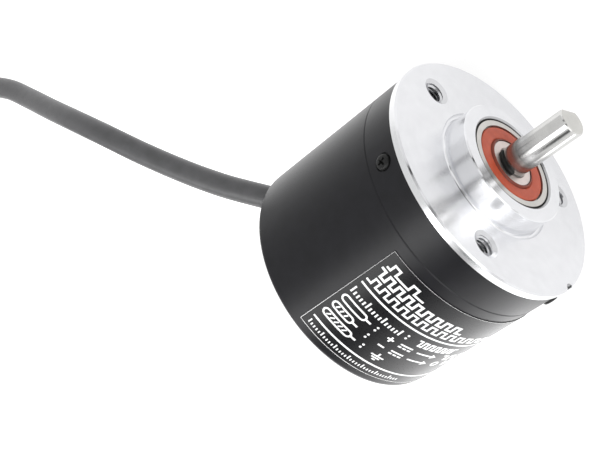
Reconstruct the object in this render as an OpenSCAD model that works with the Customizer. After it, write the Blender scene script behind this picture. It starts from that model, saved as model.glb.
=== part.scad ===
// Incremental rotary encoder with a flange, a pilot boss and a solid shaft.
// It lies on its side: the shaft points along +X and +Z is up.
// The origin is on the shaft axis, in the plane of the flange's mounting face.
// Turned pieces are drawn about an upright axis, shaft end up, and laid along +X by lay().

/* [Flange] */
// Outer diameter of the flange
flange_d = 50; // [49.8:0.1:52]
// Thickness of the rim that stands outside the cover
rim_t = 1.6; // [1.4:0.1:2.2]
// Chamfer on the flange's front edge
rim_chamfer = 0.35; // [0.2:0.05:0.6]
// Diameter of the pilot boss
boss_d = 25; // [24:0.5:26]
// Height of the pilot boss above the mounting face
boss_h = 4.8; // [4.7:0.05:5.2]
// Pitch circle of the three mounting holes
hole_pcd = 38; // [36:0.5:38.5]
// Major diameter of the mounting thread
hole_d = 4; // [3:0.5:4]
// Depth of the mounting thread
hole_depth = 7.4; // [5:0.2:7.6]

/* [Shaft] */
// Diameter of the shaft
shaft_d = 6; // [5.9:0.01:6]
// Length of the shaft in front of the mounting face
shaft_len = 19; // [16:0.1:24]
// Depth of the flat on the shaft
flat_depth = 1; // [0.3:0.1:1.2]
// Length of the flat on the shaft
flat_len = 10; // [6:0.1:11]

/* [Cover] */
// Outer diameter of the cover
cover_d = 49.4; // [49.2:0.1:49.6]
// Length from the mounting face to the rear face
cover_len = 39.4; // [39:0.1:42]
// Wall thickness of the cover
cover_wall = 1.5; // [1.4:0.05:1.5]
// Radius of the rounded rear corner
cover_round = 1; // [0.4:0.1:1.4]
// Distance from the mounting face to the fixing screws
screw_z = 5; // [4.4:0.1:5]

/* [Cable] */
// Diameter of the cable
cable_d = 5; // [4.6:0.1:5]

/* [Hidden] */
$fn = 96;
fr = flange_d/2;
br = boss_d/2;
cr = cover_d/2;
ci = cr - cover_wall;          // inside radius of the cover
sp = ci - 0.05;                // spigot that the cover slides over
seat = 9.5;                    // bearing seat radius
bf = boss_h - 0.3;             // front face of the front bearing
rb = -12;                      // front face of the rear bearing
bw = 6;                        // bearing width
sr = shaft_d/2;
spigot_z = -9;                 // rear face of the spigot
hub_z = -19;                   // rear end of the bearing hub
disc_z = -22;                  // front face of the code disc
board_z = -27;                 // front face of the circuit board
board_t = 1.6;
post_r = 19.5;                 // pitch radius of the board posts
hole_a = [178, 298, 58];       // mounting holes, degrees about the shaft
screw_a = [238, 358, 118];     // cover screws
post_a = [28, 148, 268];       // board posts
flat_a = 152;                  // direction that the shaft's flat faces
exit_x = -16.7;                // where the cable's axis leaves the rear face
head_r = 1.65;                 // cover screw head
lab_a0 = 271.7;                // start of the label
lab_a1 = 105;                  // angle that the label covers
floor_z = -25;                 // surface that the part lies on
coil_c = [-194, 63.8];         // centre of the coil
coil_ri = 16.9;
coil_ro = 33.3;
coil_z0 = -24.4;
coil_z1 = 1.05;

// Route of the free cable, from its end inside the cover to the coil
route = [[-33, 10.3, 0], [-40, 17.3, 0], [-45.2, 22.5, 0], [-49.5, 26.7, 0], [-54, 31.2, -0.2],
         [-60, 38.1, -0.5], [-67, 47, -1], [-74, 56.5, -1.8], [-81.5, 64.2, -5], [-90, 71.5, -10],
         [-98.5, 78.7, -15.4], [-106.5, 85.7, -19.6], [-115, 91, -21.8], [-126, 94, -22.4], [-138, 94.5, -22.4],
         [-151, 94.5, -22.4], [-165, 94.5, -22.3], [-180, 94.5, -22], [-194, 94.5, -21.9]];

// ---- shared shapes ----

// Lays a piece drawn about an upright axis along +X
module lay() rotate([-90, 0, 0]) rotate([0, 90, 0]) children();

// Frame on a radius: local +Z points outwards at angle a, height z
module radial(a, r, z) rotate([0, 0, a]) translate([r, 0, z]) rotate([0, 90, 0]) children();

// Frame of the slanting cable exit: local +Z points out along the cable
module exit_frame() translate([exit_x, 0, -cover_len]) rotate([0, 225, 0]) children();

// Washer between two heights
module ring(r0, r1, z0, z1) translate([0, 0, z0]) difference() {
  cylinder(r = r1, h = z1 - z0);
  translate([0, 0, -1]) cylinder(r = r0, h = z1 - z0 + 2);
}

// Points of an arc, for turned profiles
function arc(c, r, a0, a1, n = 6) = [for (i = [0:n]) let (a = a0 + (a1 - a0)*i/n) [c[0] + r*cos(a), c[1] + r*sin(a)]];

// Swept round tube along a list of points
function unit(v) = v/norm(v);
function heading(p, i) = unit(p[min(i + 1, len(p) - 1)] - p[max(i - 1, 0)]);
function side(t) = unit(cross(t, [0, 0, 1]));
module tube(p, r, n) {
  m = len(p);
  pts = [for (i = [0:m - 1]) let (t = heading(p, i), s = side(t), u = cross(s, t))
           for (k = [0:n - 1]) let (a = 360*(k + 0.5)/n) p[i] + r*cos(a)*s + r*sin(a)*u];
  quads = [for (i = [0:m - 2]) for (k = [0:n - 1]) let (a = i*n + k, b = i*n + (k + 1)%n)
             each [[a, a + n, b + n], [a, b + n, b]]];
  polyhedron(points = pts, faces = concat(quads, [[for (k = [0:n - 1]) k]], [[for (k = [n - 1:-1:0]) (m - 1)*n + k]]), convexity = 6);
}

// Pan head with a cross recess; local +Z points out of the head, its seat is at 0
module pan_head(r, h, slot) difference() {
  rotate_extrude() polygon(concat([[0, 0], [r, 0], [r, h*0.45]], arc([r - h*0.5, h*0.45], h*0.5, 20, 90, 4), [[0, h*0.95]]));
  for (a = [0, 90]) rotate([0, 0, a]) translate([-r*0.6, -slot/2, h*0.35]) cube([r*1.2, slot, h]);
}

// ---- ball bearing 6 x 19 x 6, front face at height z ----
ball_r = 1.75;
pitch_r = 6.25;
groove_r = 1.8;
ball_n = 7;

module bearing_outer(z) color("silver") lay() translate([0, 0, z - bw/2]) difference() {
  rotate_extrude() polygon([[8.1, -3], [9.2, -3], [9.49, -2.7], [9.49, 2.7], [9.2, 3], [8.1, 3], [8.1, 2.1], [7.6, 2.1], [7.6, -2.1], [8.1, -2.1]]);
  rotate_extrude() translate([pitch_r, 0]) circle(r = groove_r, $fn = 48);
}
module bearing_inner(z) color("gainsboro") lay() translate([0, 0, z - bw/2]) difference() {
  rotate_extrude() polygon([[sr + 0.26, -3], [4.7, -3], [4.9, -2.8], [4.9, 2.8], [4.7, 3], [sr + 0.26, 3], [sr + 0.01, 2.75], [sr + 0.01, -2.75]]);
  rotate_extrude() translate([pitch_r, 0]) circle(r = groove_r, $fn = 48);
}
module bearing_balls(z) color("silver") lay() translate([0, 0, z - bw/2])
  for (i = [0:ball_n - 1]) rotate([0, 0, i*360/ball_n]) translate([pitch_r, 0, 0]) sphere(r = ball_r, $fn = 32);
module bearing_cage(z) color("tan") lay() translate([0, 0, z - bw/2]) difference() {
  ring(5.65, 6.85, -1, 1.85);
  for (i = [0:ball_n - 1]) rotate([0, 0, i*360/ball_n]) translate([pitch_r, 0, 0]) sphere(r = ball_r + 0.05, $fn = 32);
}
module bearing_seals(z) color("orangered") lay() translate([0, 0, z - bw/2]) for (s = [0, 1]) mirror([0, 0, s])
  rotate_extrude() polygon([[5.15, 2.25], [7.97, 2.25], [7.97, 2.75], [7.8, 2.9], [5.5, 2.9], [5.15, 2.7]]);

// ---- housing ----

module flange() color("silver") lay() difference() {
  rotate_extrude() polygon([
    [seat, bf - bw], [seat, boss_h - 0.37], [seat + 0.37, boss_h], [br - 0.25, boss_h], [br, boss_h - 0.25],
    each arc([br + 0.5, 0], 0.5, 180, 360, 8),
    [fr - rim_chamfer, 0], [fr, -rim_chamfer], [fr, -rim_t], [sp, -rim_t],
    [sp, -6.3], [sp - 1.2, -6.3], [sp - 1.2, -7.7], [sp, -7.7], [sp, spigot_z + 0.4], [sp - 0.4, spigot_z],
    [12.6, spigot_z], [12, spigot_z - 0.6], [12, hub_z], [seat + 0.3, hub_z], [seat, hub_z + 0.3],
    [seat, rb + 1], [8, rb + 1], [8, bf - bw]]);
  for (a = hole_a) rotate([0, 0, a]) translate([hole_pcd/2, 0, 0]) {
    translate([0, 0, -hole_depth]) cylinder(d = hole_d, h = hole_depth + 1, $fn = 48);
    translate([0, 0, -0.42]) cylinder(r1 = hole_d/2, r2 = hole_d/2 + 1.7, h = 0.84, $fn = 48);
    translate([0, 0, -hole_depth - 0.8]) cylinder(r1 = 0.2, r2 = hole_d/2 - 0.35, h = 0.81, $fn = 48);
  }
  for (a = screw_a) radial(a, sp - 5.2, -screw_z) cylinder(r = 1.02, h = 8, $fn = 32);
  for (a = post_a) rotate([0, 0, a]) translate([post_r, 0, spigot_z - 0.01]) cylinder(r = 1.02, h = 2.3, $fn = 32);
  // witness notch on the front edge
  rotate([0, 0, 357]) translate([fr + 0.05, 0, -rim_t - 0.5]) cylinder(r = 1.05, h = rim_t + 1, $fn = 32);
}

module cover() color([0.13, 0.13, 0.14]) lay() difference() {
  union() {
    rotate_extrude() polygon(concat(
      [[ci, -rim_t - 0.04], [cr - 0.15, -rim_t - 0.04], [cr, -rim_t - 0.19], [cr, -8.4], [cr - 0.12, -8.42], [cr, -8.75]],
      arc([cr - cover_round, -cover_len + cover_round], cover_round, 0, -90, 5),
      [[0, -cover_len], [0, -cover_len + cover_wall], [ci - 0.6, -cover_len + cover_wall], [ci, -cover_len + cover_wall + 0.6]]));
    // slanting nose that the cable leaves through
    intersection() {
      exit_frame() translate([0, 0, -3]) cylinder(r = 4.8, h = 8, $fn = 64);
      translate([0, 0, -cover_len - 19.5]) cylinder(r = 23.6, h = 20);
    }
  }
  exit_frame() translate([0, 0, -8]) cylinder(r = 3.3, h = 20, $fn = 64);
  for (a = screw_a) {
    radial(a, cr - 6, -screw_z) cylinder(r = 1.15, h = 10, $fn = 32);
    radial(a, cr - 0.35, -screw_z) cylinder(r = head_r + 0.12, h = 4, $fn = 48);
  }
}

module cover_screws() color([0.1, 0.1, 0.1]) lay() for (a = screw_a) {
  radial(a, cr - 0.35, -screw_z) pan_head(head_r, 0.95, 0.5);
  radial(a, sp - 5, -screw_z) cylinder(r = 1, h = cr - 0.35 - sp + 5, $fn = 32);
}

module cover_seal_ring() color([0.08, 0.08, 0.08]) lay()
  rotate_extrude() translate([sp - 0.58, -7]) circle(r = 0.6, $fn = 32);

module rating_label() color([0.1, 0.1, 0.11]) lay() rotate([0, 0, lab_a0])
  rotate_extrude(angle = lab_a1) translate([cr + 0.02, -37]) square([0.1, 25.9]);

module front_bearing_outer_ring() bearing_outer(bf);
module front_bearing_balls() bearing_balls(bf);
module front_bearing_cage() bearing_cage(bf);
module front_bearing_inner_ring() bearing_inner(bf);
module front_bearing_seals() bearing_seals(bf);
module rear_bearing_outer_ring() bearing_outer(rb);
module rear_bearing_balls() bearing_balls(rb);
module rear_bearing_cage() bearing_cage(rb);
module rear_bearing_inner_ring() bearing_inner(rb);
module rear_bearing_seals() bearing_seals(rb);

module preload_washer() color("lightgray") lay() ring(8.3, 9.4, rb + 0.15, rb + 0.85);

// ---- rotor ----

module shaft() color("gainsboro") lay() rotate([0, 0, flat_a]) difference() {
  rotate_extrude() polygon([[0, -25.5], [sr - 0.3, -25.5], [sr, -25.2], [sr, bf + 0.05], [2.45, bf + 0.05], [2.45, bf + 0.65],
    [sr, bf + 0.65], [sr, shaft_len - flat_len], [sr - 0.008, shaft_len - flat_len], [sr - 0.008, shaft_len - 0.25],
    [sr - 0.25, shaft_len], [0, shaft_len]]);
  translate([sr - flat_depth, -5, shaft_len - flat_len]) cube([5, 10, flat_len + 1]);
}

module retaining_ring() color([0.08, 0.08, 0.08]) lay() rotate([0, 0, 252]) translate([0, 0, bf + 0.1]) linear_extrude(height = 0.5) difference() {
  union() {
    intersection() {
      translate([0.5, 0]) circle(r = 3.3, $fn = 64);
      polygon([[0, 0], [10, -11.5], [20, 0], [10, 11.5]]);
    }
    difference() {
      circle(r = 3.25, $fn = 64);
      polygon([[0, 0], [-10, 14.3], [-30, 0], [-10, -14.3]]);
    }
  }
  circle(r = 2.5, $fn = 64);
}

module spacer_sleeve() color("silver") lay() ring(sr + 0.02, 4.5, rb, bf - bw);

module disc_hub() color("goldenrod") lay() difference() {
  rotate_extrude() polygon([[sr + 0.02, rb - bw], [4.4, rb - bw], [4.4, -19.6], [7, -19.6], [7, disc_z], [4.99, disc_z], [4.99, -23.3], [sr + 0.02, -23.3]]);
  for (a = [30, 150]) radial(a, 1, -20.8) cylinder(r = 0.82, h = 10, $fn = 32);
}

module hub_set_screws() color([0.15, 0.15, 0.15]) lay() for (a = [30, 150]) radial(a, sr + 0.05, -20.8) difference() {
  cylinder(r = 0.8, h = 3.2, $fn = 32);
  translate([0, 0, 2.2]) cylinder(r = 0.4, h = 2, $fn = 6);
}

module code_disc() color("lightsteelblue") lay() difference() {
  ring(5, 16.9, disc_z - 0.4, disc_z);
  for (i = [0:39]) rotate([0, 0, i*9]) translate([13.2, -0.55, disc_z - 1]) cube([3, 1.1, 2]);
  rotate([0, 0, 4.5]) translate([11.2, -0.55, disc_z - 1]) cube([1.4, 1.1, 2]);
}

module disc_clamp_ring() color("goldenrod") lay() ring(5, 7, disc_z - 1.2, disc_z - 0.4);

// ---- optical head and electronics ----

module led_holder() color([0.2, 0.2, 0.2]) lay() rotate([0, 0, 90]) difference() {
  translate([12.7, -4.5, -20.4]) cube([5.4, 9, 20.4 + spigot_z]);
  translate([14.8, 0, -22]) cylinder(r = 1.55, h = 6, $fn = 32);
}
module led_emitter() color([0.9, 0.85, 0.9]) lay() rotate([0, 0, 90]) translate([14.8, 0, 0]) {
  translate([0, 0, -20]) cylinder(r = 1.5, h = 3.9, $fn = 32);
  translate([0, 0, -20]) sphere(r = 1.5, $fn = 32);
}
module mask_plate() color("lightsteelblue") lay() rotate([0, 0, 90]) difference() {
  translate([11.5, -4, -23.5]) cube([6.5, 8, 0.4]);
  for (y = [-2.4, -0.8, 0.8, 2.4]) translate([13.2, y - 0.3, -24]) cube([3, 0.6, 2]);
}
module photo_detector() color([0.15, 0.15, 0.15]) lay() rotate([0, 0, 90])
  translate([11.2, -4.3, board_z]) cube([7.1, 8.6, -23.5 - board_z]);

module main_board() color("darkgreen") lay() difference() {
  translate([0, 0, board_z - board_t]) cylinder(r = 21.8, h = board_t);
  for (a = post_a) rotate([0, 0, a]) translate([post_r, 0, board_z - 5]) cylinder(r = 1, h = 9, $fn = 32);
  translate([-26, -4, board_z - 5]) cube([8, 8, 9]);
}
module board_posts() color("goldenrod") lay() for (a = post_a) rotate([0, 0, a]) translate([post_r, 0, 0]) {
  difference() {
    translate([0, 0, board_z]) cylinder(r = 2, h = spigot_z - board_z, $fn = 6);
    translate([0, 0, board_z - 1]) cylinder(r = 0.87, h = 7, $fn = 32);
  }
  translate([0, 0, spigot_z - 0.5]) cylinder(r = 1, h = 2.6, $fn = 32);
}
module board_screws() color("silver") lay() for (a = post_a) rotate([0, 0, a]) translate([post_r, 0, board_z - board_t]) {
  rotate([180, 0, 0]) pan_head(1.8, 1.3, 0.5);
  cylinder(r = 0.85, h = 5.5, $fn = 32);
}
module signal_chip() color([0.12, 0.12, 0.12]) lay() translate([3, 4, board_z - board_t - 1.5]) {
  cube([10, 6, 1.5]);
  for (i = [0:6]) translate([1 + i*1.27, -0.9, 0.9]) cube([0.5, 7.8, 0.6]);
}
module driver_chips() color([0.12, 0.12, 0.12]) lay() for (i = [0:2]) translate([-4 + i*6, -15, board_z - board_t - 1.1]) {
  cube([3, 2, 1.1]);
  translate([0.3, -0.6, 0.7]) cube([0.5, 3.2, 0.4]);
  translate([2.2, -0.6, 0.7]) cube([0.5, 3.2, 0.4]);
}
module smoothing_capacitor() color("slategray") lay() translate([11, -7, board_z - board_t - 6.5]) {
  cylinder(r = 2.5, h = 6.5, $fn = 48);
}
module wire_connector() color("ivory") lay() difference() {
  translate([0, -5, board_z - board_t - 4.5]) cube([4.5, 10 - 2, 4.5]);
  for (i = [0:4]) translate([2.25, -3.8 + i*1.4, board_z - board_t - 6]) cylinder(r = 0.52, h = 3.5, $fn = 24);
}
// Wires between the cable's inner end and the connector, drawn where they lie
module inner_leads() color("orange") for (i = [0:4]) let (y = 3.8 - i*1.4)
  tube([[-31.4, -2.25, y], [-34, -2.25, y], [-35, -0.6, 0.95*y], [-34.8, 3.5, 0.75*y], [-33.4, 8, 0.6*y], [-32.7, 9.8, 0.5*y]], 0.32, 8);

// ---- cable ----

module cable_bush() color([0.1, 0.1, 0.1]) lay() exit_frame() rotate_extrude()
  polygon([[cable_d/2 + 0.02, -5.9], [3.25, -5.9], [3.25, 5.05], [4.5, 5.05], [4.5, 5.5], [4.2, 5.9], [3.4, 6.1], [cable_d/2 + 0.4, 6.8], [cable_d/2 + 0.02, 6.8]]);
module cable_clamp() color("silver") lay() exit_frame() ring(cable_d/2 + 0.02, 3.7, -8.3, -6);
module cable_tube() color([0.22, 0.22, 0.22]) tube(route, cable_d/2, 10);
module cable_coil() color([0.22, 0.22, 0.22]) translate([coil_c[0], coil_c[1], 0]) rotate_extrude()
  polygon([[coil_ri, coil_z0 + 1.5], [coil_ri + 1.5, coil_z0], [coil_ro - 1.5, coil_z0], [coil_ro, coil_z0 + 1.5],
    [coil_ro, coil_z1 - 1.5], [coil_ro - 1.5, coil_z1], [coil_ri + 1.5, coil_z1], [coil_ri, coil_z1 - 1.5]]);
module cable_tail() color([0.22, 0.22, 0.22]) translate([coil_c[0], coil_c[1], coil_z1 + cable_d/2 - 0.02]) rotate([0, 0, 200])
  rotate_extrude(angle = 55) translate([25.5, 0]) circle(d = cable_d, $fn = 32);
module cable_tie() color([0.85, 0.85, 0.85]) translate([coil_c[0], coil_c[1], 0]) rotate([0, 0, 20]) {
  translate([0, 2, 0]) rotate([90, 0, 0]) linear_extrude(height = 4) difference() {
    translate([coil_ri - 0.75, floor_z + 0.02]) square([coil_ro - coil_ri + 1.5, coil_z1 - floor_z + 0.63]);
    translate([coil_ri - 0.1, coil_z0 - 0.05]) square([coil_ro - coil_ri + 0.15, coil_z1 - coil_z0 + 0.1]);
  }
  translate([coil_ro + 0.7, -2.6, -18]) cube([3, 5.2, 4.6]);
}
module lead_wires() color("sienna") translate([coil_c[0], coil_c[1], coil_z1]) rotate([0, 0, 255])
  for (q = [[23.7, 1.1], [25.1, 0.75], [26.3, 1.4], [24.3, 2.5], [25.7, 2.9]])
    rotate_extrude(angle = 58) translate(q) circle(r = 0.6, $fn = 24);

flange();
cover();
cover_screws();
cover_seal_ring();
rating_label();
front_bearing_outer_ring();
front_bearing_inner_ring();
front_bearing_balls();
front_bearing_cage();
front_bearing_seals();
rear_bearing_outer_ring();
rear_bearing_inner_ring();
rear_bearing_balls();
rear_bearing_cage();
rear_bearing_seals();
preload_washer();
shaft();
retaining_ring();
spacer_sleeve();
disc_hub();
hub_set_screws();
code_disc();
disc_clamp_ring();
led_holder();
led_emitter();
mask_plate();
photo_detector();
main_board();
board_posts();
board_screws();
signal_chip();
driver_chips();
smoothing_capacitor();
wire_connector();
inner_leads();
cable_bush();
cable_clamp();
cable_tube();
cable_coil();
cable_tail();
cable_tie();
lead_wires();
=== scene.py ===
"""Looks of a flange-mounted rotary encoder lying on its side, with its cable."""

import math

import bmesh
import bpy
from mathutils import Matrix, Vector


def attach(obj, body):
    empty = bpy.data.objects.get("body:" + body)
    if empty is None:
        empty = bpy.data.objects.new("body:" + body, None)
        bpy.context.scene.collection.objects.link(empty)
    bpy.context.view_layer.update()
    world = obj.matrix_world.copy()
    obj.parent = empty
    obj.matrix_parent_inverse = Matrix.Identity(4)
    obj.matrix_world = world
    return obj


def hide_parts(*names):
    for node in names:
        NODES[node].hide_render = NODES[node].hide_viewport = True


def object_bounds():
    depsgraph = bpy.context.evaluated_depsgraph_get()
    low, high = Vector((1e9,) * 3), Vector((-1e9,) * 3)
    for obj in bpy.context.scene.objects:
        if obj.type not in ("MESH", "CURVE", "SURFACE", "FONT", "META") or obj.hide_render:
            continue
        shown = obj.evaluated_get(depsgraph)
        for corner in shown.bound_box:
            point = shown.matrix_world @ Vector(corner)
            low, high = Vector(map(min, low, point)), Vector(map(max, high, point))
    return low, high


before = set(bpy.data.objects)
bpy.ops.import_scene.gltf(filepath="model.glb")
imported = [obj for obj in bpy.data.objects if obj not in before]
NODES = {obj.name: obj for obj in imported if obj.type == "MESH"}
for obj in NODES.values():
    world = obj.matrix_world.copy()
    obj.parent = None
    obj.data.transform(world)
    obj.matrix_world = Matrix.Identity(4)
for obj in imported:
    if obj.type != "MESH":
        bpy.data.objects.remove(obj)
CAD_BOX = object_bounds()
MM = 0.001


# ---------------------------------------------------------------- frame helpers
def E(x, y, z):
    """A point drawn about an upright shaft axis (mm), laid along +X, in metres."""
    return Vector((z, -x, -y)) * MM


def polar(r, deg, z):
    a = math.radians(deg)
    return E(r * math.cos(a), r * math.sin(a), z)


# ---------------------------------------------------------------- camera
scene = bpy.context.scene
cam_data = bpy.data.cameras.new("camera")
cam = bpy.data.objects.new("camera", cam_data)
scene.collection.objects.link(cam)
cam_data.sensor_fit = "HORIZONTAL"
cam_data.sensor_width = 36.0
cam_data.lens = 82.528
cam_data.clip_start = 0.005
cam_data.clip_end = 20.0
right = Vector((0.64194, -0.57322, -0.50925)).normalized()
back = Vector((0.59196, -0.05163, 0.80431)).normalized()
up = back.cross(right).normalized()
right = up.cross(back).normalized()
cam.matrix_world = Matrix((
    (right.x, up.x, back.x, 0.12289),
    (right.y, up.y, back.y, 0.0),
    (right.z, up.z, back.z, 0.225498),
    (0, 0, 0, 1),
))
scene.camera = cam
scene.view_settings.view_transform = "Standard"
scene.view_settings.look = "None"


# ---------------------------------------------------------------- light levels
FLOOR_GLOW = 0.87
FLOOR_RIGHT = 1.9
FLOOR_LEFT = 0.6
SKY_BACK = 0.85
SKY_FRONT = 0.95
# soft round areas of the surroundings: direction, inner and outer angle, how much lighter or darker
PATCHES = [
    ((1.0, 0.0, 0.1), 8, 22, -0.8),
    ((0.34, -0.66, 0.67), 8, 22, 1.8),
]
# long soft strips that run along the shaft: angle about it from straight up (towards +Y), inner and outer
# half width, where they start and end along the shaft, how much lighter or darker
STRIPS = [
    (-7.0, 5, 17, -0.90, 0.05, 4.2),
    (-44.0, 4, 14, -0.90, 0.00, -0.75),
    (-92.0, 12, 30, -0.95, -0.50, 1.6),
    (7.0, 4, 10, 0.20, 0.95, -0.58),
    (34.0, 8, 16, 0.20, 0.95, 0.10),
    (55.0, 2.5, 6.0, 0.20, 0.95, -0.58),
    (-46.0, 22, 34, 0.20, 0.95, 0.6),
    (48.0, 9, 17, 0.72, 0.98, -0.38),
    (-72.0, 22, 40, -0.08, 0.14, 2.8),
]


# ---------------------------------------------------------------- mesh helpers
def link(name, mesh):
    ob = bpy.data.objects.new(name, mesh)
    scene.collection.objects.link(ob)
    return ob


def mesh_object(name, verts, faces, smooth_deg=35):
    me = bpy.data.meshes.new(name)
    me.from_pydata([tuple(v) for v in verts], [], faces)
    me.validate()
    bm = bmesh.new()
    bm.from_mesh(me)
    bmesh.ops.recalc_face_normals(bm, faces=bm.faces)
    bm.to_mesh(me)
    bm.free()
    ob = link(name, me)
    smooth(ob, smooth_deg)
    return ob


def smooth(ob, deg=35):
    me = ob.data
    me.polygons.foreach_set("use_smooth", [True] * len(me.polygons))
    me.set_sharp_from_angle(angle=math.radians(deg))


def sweep(path, ring_at, n, caps=True):
    """Vertices and faces of a tube; ring_at(i) gives its ring of n points."""
    verts, faces = [], []
    m = len(path)
    for i in range(m):
        verts += ring_at(i)
    for i in range(m - 1):
        for k in range(n):
            a, b = i * n + k, i * n + (k + 1) % n
            faces.append((a, b, b + n, a + n))
    if caps:
        faces.append(tuple(range(n - 1, -1, -1)))
        faces.append(tuple((m - 1) * n + k for k in range(n)))
    return verts, faces


def frames_along(path):
    """Tangent and two normals at each point, carried along without twist."""
    m = len(path)
    tang = [(path[min(i + 1, m - 1)] - path[max(i - 1, 0)]).normalized() for i in range(m)]
    n0 = tang[0].cross(Vector((0, 0, 1)))
    if n0.length < 1e-6:
        n0 = tang[0].cross(Vector((0, 1, 0)))
    n0.normalize()
    out = []
    for i in range(m):
        n0 = (n0 - tang[i] * n0.dot(tang[i])).normalized()
        out.append((tang[i], n0, tang[i].cross(n0)))
    return out


def tube(name, path, radius, n=20, caps=True, radius_at=None):
    fr = frames_along(path)

    def ring(i):
        _, s, u = fr[i]
        r = radius_at(i) if radius_at else radius
        return [path[i] + (s * math.cos(2 * math.pi * k / n) + u * math.sin(2 * math.pi * k / n)) * r for k in range(n)]

    v, f = sweep(path, ring, n, caps)
    return mesh_object(name, v, f, 40)


def catmull(points, step):
    """A smooth line through the points, sampled about every step."""
    out = []
    p = [points[0] * 2 - points[1]] + list(points) + [points[-1] * 2 - points[-2]]
    for i in range(1, len(p) - 2):
        a, b, c, d = p[i - 1], p[i], p[i + 1], p[i + 2]
        k = max(2, int(round((c - b).length / step)))
        for j in range(k):
            t = j / k
            out.append(0.5 * ((2 * b) + (c - a) * t + (2 * a - 5 * b + 4 * c - d) * t * t + (3 * b - a - 3 * c + d) * t ** 3))
    out.append(points[-1].copy())
    return out


# ---------------------------------------------------------------- cable
CABLE_R = 2.5
COIL_C = (-194.0, 63.8)
COIL_TOP = 1.05
ROUTE = [(-33, 10.3, 0), (-40, 17.3, 0), (-45.2, 22.5, 0), (-49.5, 26.7, 0), (-54, 31.2, -0.2), (-60, 38.1, -0.5),
         (-67, 47, -1), (-74, 56.5, -1.8), (-81.5, 64.2, -5), (-90, 71.5, -10), (-98.5, 78.7, -15.4), (-106.5, 85.7, -19.6),
         (-115, 91, -21.8), (-126, 94, -22.4), (-138, 94.5, -22.4), (-151, 94.5, -22.4), (-165, 94.5, -22.3),
         (-180, 94.5, -22), (-194, 94.5, -21.9)]


def ease(t):
    t = min(1.0, max(0.0, t))
    return t * t * (3 - 2 * t)


def coil_points():
    """The put-away length: five flat layers, wound in and out by turns, then a tail on top."""
    layer, pitch, rise = 765.0, 5.27, 5.1
    r_out = 30.7
    r_in = r_out - pitch * layer / 360
    z = [-21.9 + rise * k for k in range(5)]
    pts, a = [], 90.0
    for k in range(5):
        r0, r1 = (r_out, r_in) if k % 2 == 0 else (r_in, r_out)
        n = int(layer / 8)
        for j in range(1, n + 1):
            t = j / n
            pts.append((a + layer * t, r0 + (r1 - r0) * t, z[k]))
        a += layer
        if k < 4:
            step = 60.0 if k % 2 == 0 else 35.0
            for j in range(1, 9):
                t = j / 8
                pts.append((a + step * t, r1, z[k] + (z[k + 1] - z[k]) * ease(t)))
            a += step
    span = 110.0
    n = int(span / 5)
    for j in range(1, n + 1):
        t = j / n
        pts.append((a + span * t, r_in + (25.5 - r_in) * ease((t - 0.4) / 0.6), z[4] + (COIL_TOP + CABLE_R - z[4]) * ease(t / 0.55)))
    return [Vector((COIL_C[0] + r * math.cos(math.radians(q)), COIL_C[1] + r * math.sin(math.radians(q)), h)) * MM for q, r, h in pts]


free = catmull([Vector(p) * MM for p in ROUTE], 2.2 * MM)
cable_path = free + coil_points()
cable = tube("cable", cable_path, CABLE_R * MM, 24)
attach(cable, "housing")
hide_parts("cable_tube", "cable_coil", "cable_tail")

# The five stripped leads at the far end, lying on the coil
LEADS = [("brown", (0.16, 0.06, 0.025), 23.5, 1.15), ("black", (0.012, 0.012, 0.013), 25.0, 0.75),
         ("white", (0.78, 0.77, 0.74), 26.4, 1.25), ("blue", (0.02, 0.09, 0.33), 24.2, 2.55), ("orange", (0.72, 0.2, 0.02), 25.7, 2.9)]
lead_objs = []
for i, (lname, lcol, lr, lh) in enumerate(LEADS):
    pts = []
    for j in range(15):
        t = j / 14
        q = 254.0 + 57.0 * t
        rr = lr + (i - 2) * 0.55 * ease(t) * 1.5
        hh = lh + (0.72 - lh) * ease(t / 0.7)
        pts.append(Vector((COIL_C[0] + rr * math.cos(math.radians(q)), COIL_C[1] + rr * math.sin(math.radians(q)), COIL_TOP + hh)) * MM)
    fine = catmull(pts, 0.9 * MM)
    cut = int(len(fine) * 0.82)
    ob = tube("lead_" + lname, fine[:cut], 0.6 * MM, 12)
    strand = tube("lead_core_" + lname, fine[cut - 1:], 0.38 * MM, 10)
    lead_objs.append((ob, strand, lcol))
    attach(ob, "housing"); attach(strand, "housing")
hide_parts("lead_wires")
# ---------------------------------------------------------------- fine geometry
def lathe(profile, n=96, to=None):
    """Vertices and faces of a closed ring profile (r, z), turned about the upright axis."""
    verts, faces = [], []
    m = len(profile)
    for k in range(n):
        a = 2 * math.pi * k / n
        for r, z in profile:
            p = (r * math.cos(a), r * math.sin(a), z)
            verts.append(to(p) if to else E(*p))
    for k in range(n):
        for i in range(m):
            a, b = k * m + i, k * m + (i + 1) % m
            c, d = ((k + 1) % n) * m + (i + 1) % m, ((k + 1) % n) * m + i
            faces.append((a, b, c, d))
    return verts, faces


def turned_solid(profile, n, to):
    """Closed solid from a profile that starts and ends on the axis."""
    verts = [to((0, 0, profile[0][1])), to((0, 0, profile[-1][1]))]
    faces = []
    rings = profile[1:-1]
    m = len(rings)
    for k in range(n):
        a = 2 * math.pi * k / n
        verts += [to((r * math.cos(a), r * math.sin(a), z)) for r, z in rings]
    for k in range(n):
        a, b = 2 + k * m, 2 + ((k + 1) % n) * m
        faces.append((0, a, b))
        for i in range(m - 1):
            faces.append((a + i, a + i + 1, b + i + 1, b + i))
        faces.append((a + m - 1, 1, b + m - 1))
    return verts, faces


class Shell:
    """Collects closed shells into one mesh."""

    def __init__(self):
        self.v, self.f = [], []

    def add(self, verts, faces):
        n = len(self.v)
        self.v += list(verts)
        self.f += [tuple(i + n for i in q) for q in faces]

    def build(self, name, deg=35):
        return mesh_object(name, self.v, self.f, deg)


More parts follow.
